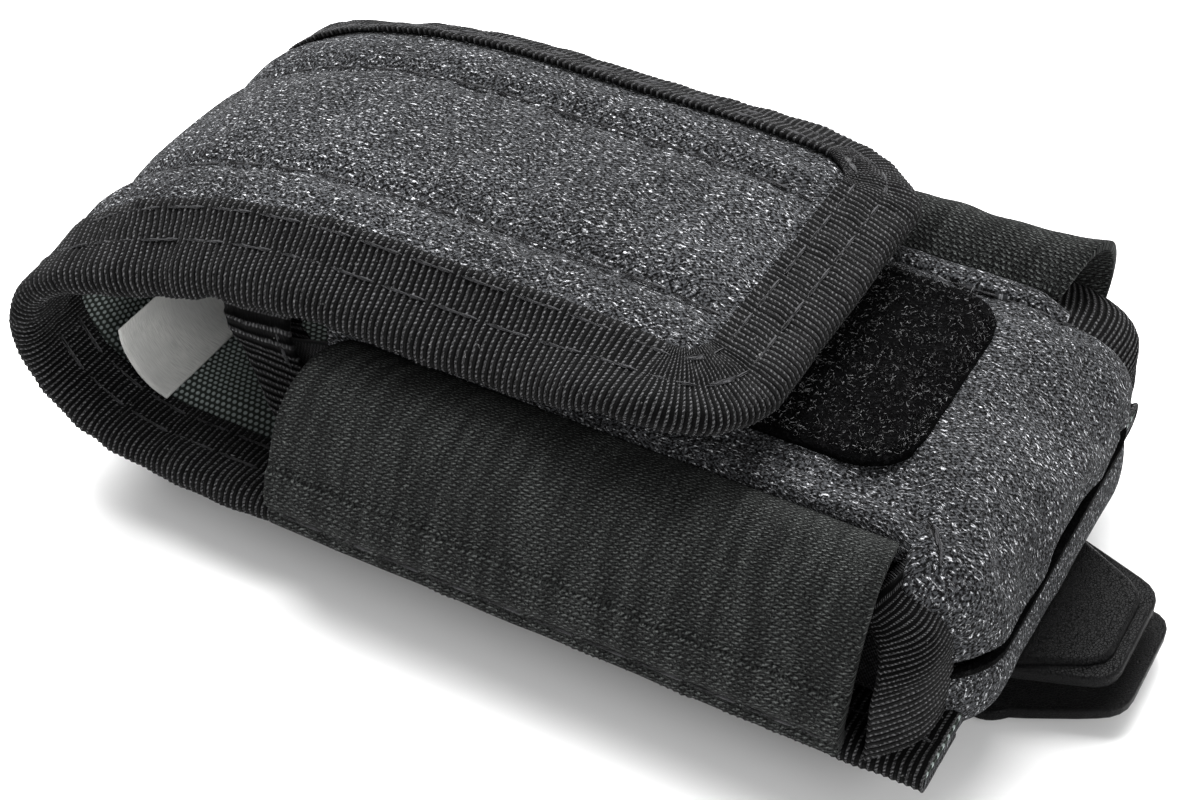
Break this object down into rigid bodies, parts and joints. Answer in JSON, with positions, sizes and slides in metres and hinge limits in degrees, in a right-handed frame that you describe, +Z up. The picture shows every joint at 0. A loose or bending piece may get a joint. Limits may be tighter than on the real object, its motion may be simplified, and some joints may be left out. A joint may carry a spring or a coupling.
{
  "type": "multi tool belt sheath",
  "caption": "Padded heather cloth belt sheath for a folding multi tool, with a hook-and-loop flap, elastic side pockets and a belt clip.",
  "frame": {"origin": "middle of the footprint of the whole sheath, on the plane it rests on, clip side down", "axes": "+X along the sheath from the fold of the flap to the closed end, +Y across it to the far side, +Z up from the clip through the front"},
  "size_m": [0.142, 0.071, 0.0485],
  "materials": {
    "heather": "woven heather polyester, charcoal with pale flecks, matte",
    "tape": "ribbed grosgrain binding tape, black, matte",
    "webbing": "woven elastic webbing, black, matte",
    "side_wall": "plain woven side wall cloth, black, matte",
    "pile": "loop pile, black, fuzzy",
    "hooks": "moulded nylon hook tape, black",
    "padding": "closed-cell foam, dark grey",
    "lining": "coated lining cloth, grey-green with a fine printed grid, low sheen",
    "label": "white satin, blank",
    "moulded": "grained moulded plastic, black, satin"
  },
  "bodies": {
    "pouch": {"back_shell": "heather", "front_shell": "heather", "lip_near": "heather", "lip_far": "heather", "end_roll": "heather", "back_foam": "padding", "front_foam": "padding", "back_lining": "lining", "front_lining": "lining", "back_binding_near": "tape", "back_binding_far": "tape", "mouth_binding": "tape", "corner_binding_near": "tape", "corner_binding_far": "tape", "elastic_near": "webbing", "elastic_far": "webbing", "clip_keeper_1": "webbing", "clip_keeper_2": "webbing", "gusset_near": "side_wall", "gusset_far": "side_wall", "loop_patch": "pile", "care_label": "label", "clip_inner_leaf": "moulded"},
    "flap_spine": {"spine_shell": "heather", "spine_foam": "padding", "spine_lining": "lining", "spine_binding_near": "tape", "spine_binding_far": "tape"},
    "flap_front": {"flap_shell": "heather", "flap_foam": "padding", "flap_lining": "lining", "flap_binding": "tape", "hook_patch": "hooks"},
    "clip_leaf": {"clip_outer_leaf": "moulded"}
  },
  "joints": [
    {"name": "flap_hinge", "type": "hinge", "parent": "pouch", "child": "flap_spine", "pos_m": [-0.06267, 0, 0.01286], "axis": [0, -1, 0], "range_deg": [0, 90]},
    {"name": "flap_crease", "type": "hinge", "parent": "flap_spine", "child": "flap_front", "pos_m": [-0.05744, 0, 0.04135], "axis": [0, -1, 0], "range_deg": [0, 90]},
    {"name": "clip_flex", "type": "hinge", "parent": "pouch", "child": "clip_leaf", "pos_m": [-0.011, 0, 0.0009], "axis": [0, 1, 0], "range_deg": [0, 8], "stiffness_Nm_per_rad": 1.5}
  ],
  "couplings": [
    {"joint": "flap_crease", "follows": "flap_hinge", "ratio": 1}
  ]
}
